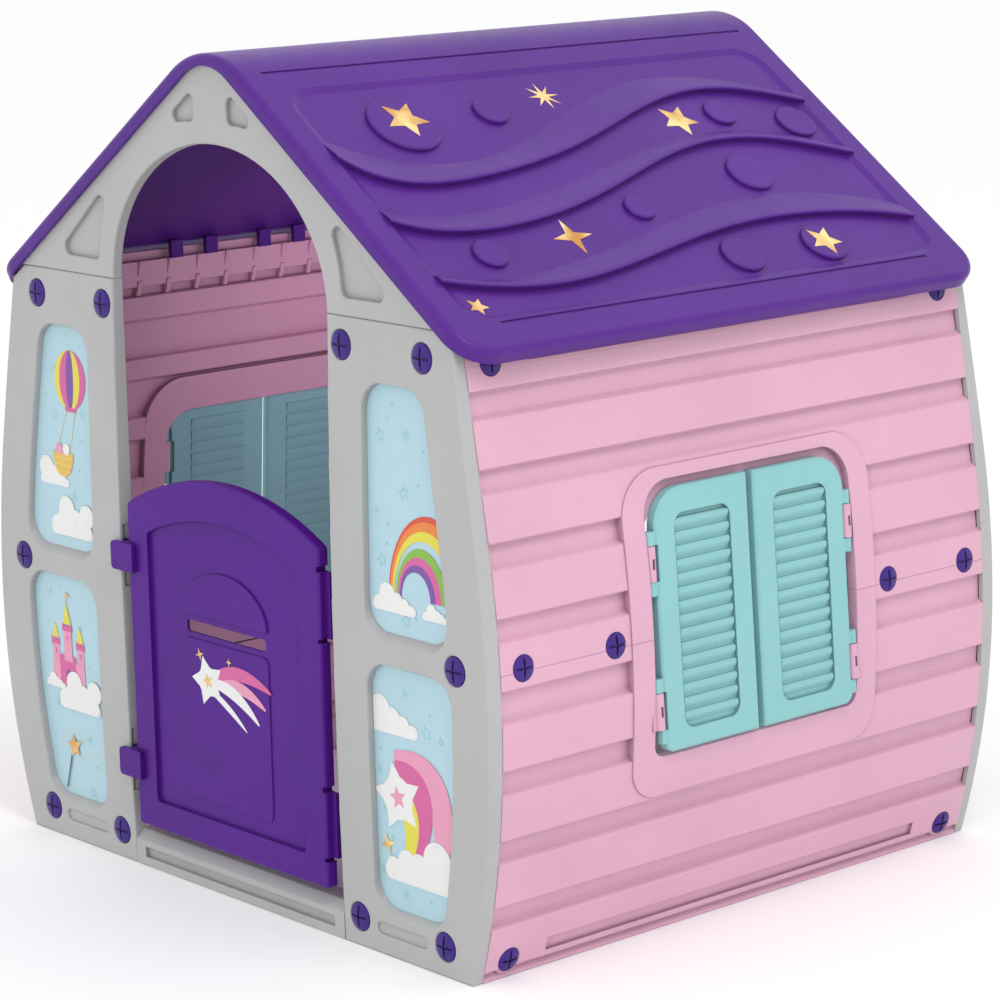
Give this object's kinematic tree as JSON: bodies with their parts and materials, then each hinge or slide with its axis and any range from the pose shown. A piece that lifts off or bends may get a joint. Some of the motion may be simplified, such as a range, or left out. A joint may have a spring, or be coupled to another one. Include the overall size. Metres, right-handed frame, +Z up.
{
  "type": "children's playhouse",
  "caption": "Moulded plastic playhouse with arched doorways, inward-opening half door, louvred window shutters, boarded side walls and a ridged gable roof.",
  "frame": {"origin": "on the ground under the middle of the house", "axes": "+Z up, -Y towards the front with the door, +X to the right seen from the front"},
  "size_m": [1.0356, 0.908, 1.0899],
  "materials": {
    "grey_plastic": "light grey moulded polypropylene, satin",
    "pink_plastic": "pale pink moulded polypropylene, satin",
    "roof_plastic": "violet moulded polypropylene, satin",
    "door_plastic": "deep violet moulded polypropylene, satin",
    "screw_plastic": "deep violet moulded nylon, satin",
    "shutter_plastic": "pale turquoise moulded polypropylene, satin",
    "printed_film": null,
    "gold_film": "gold-yellow self-adhesive film"
  },
  "bodies": {
    "house": {"front_left_post": "grey_plastic", "front_right_post": "grey_plastic", "front_gable_arch": "grey_plastic", "front_threshold": "grey_plastic", "front_post_screws": "screw_plastic", "rear_left_post": "grey_plastic", "rear_right_post": "grey_plastic", "rear_gable_arch": "grey_plastic", "rear_threshold": "grey_plastic", "rear_post_screws": "screw_plastic", "front_left_upper_picture": "printed_film", "left_wall_upper": "pink_plastic", "front_left_lower_picture": "printed_film", "left_wall_lower": "pink_plastic", "left_wall_screws": "screw_plastic", "roof_left_panel": "roof_plastic", "roof_left_hooks": "door_plastic", "roof_left_stars": "gold_film", "front_right_upper_picture": "printed_film", "right_wall_upper": "pink_plastic", "front_right_lower_picture": "printed_film", "right_wall_lower": "pink_plastic", "right_wall_screws": "screw_plastic", "roof_right_panel": "roof_plastic", "roof_right_hooks": "door_plastic", "roof_right_stars": "gold_film"},
    "door": {"front_door": "door_plastic", "door_picture": "printed_film"},
    "left_front_shutter_body": {"left_front_shutter": "shutter_plastic"},
    "left_rear_shutter_body": {"left_rear_shutter": "shutter_plastic"},
    "right_front_shutter_body": {"right_front_shutter": "shutter_plastic"},
    "right_rear_shutter_body": {"right_rear_shutter": "shutter_plastic"}
  },
  "joints": [
    {"name": "front_door_hinge", "type": "hinge", "parent": "house", "child": "door", "pos_m": [-0.227, -0.435, 0.284], "axis": [0, 0, 1], "range_deg": [0, 100]},
    {"name": "left_front_shutter_hinge", "type": "hinge", "parent": "house", "child": "left_front_shutter_body", "pos_m": [-0.51251, -0.173, 0.24363], "axis": [0.068, 0, 0.9977], "range_deg": [0, 100]},
    {"name": "left_rear_shutter_hinge", "type": "hinge", "parent": "house", "child": "left_rear_shutter_body", "pos_m": [-0.51251, 0.173, 0.24363], "axis": [-0.068, 0, -0.9977], "range_deg": [0, 100]},
    {"name": "right_front_shutter_hinge", "type": "hinge", "parent": "house", "child": "right_front_shutter_body", "pos_m": [0.51251, -0.173, 0.24363], "axis": [0.068, 0, -0.9977], "range_deg": [0, 100]},
    {"name": "right_rear_shutter_hinge", "type": "hinge", "parent": "house", "child": "right_rear_shutter_body", "pos_m": [0.51251, 0.173, 0.24363], "axis": [-0.068, 0, 0.9977], "range_deg": [0, 100]}
  ]
}
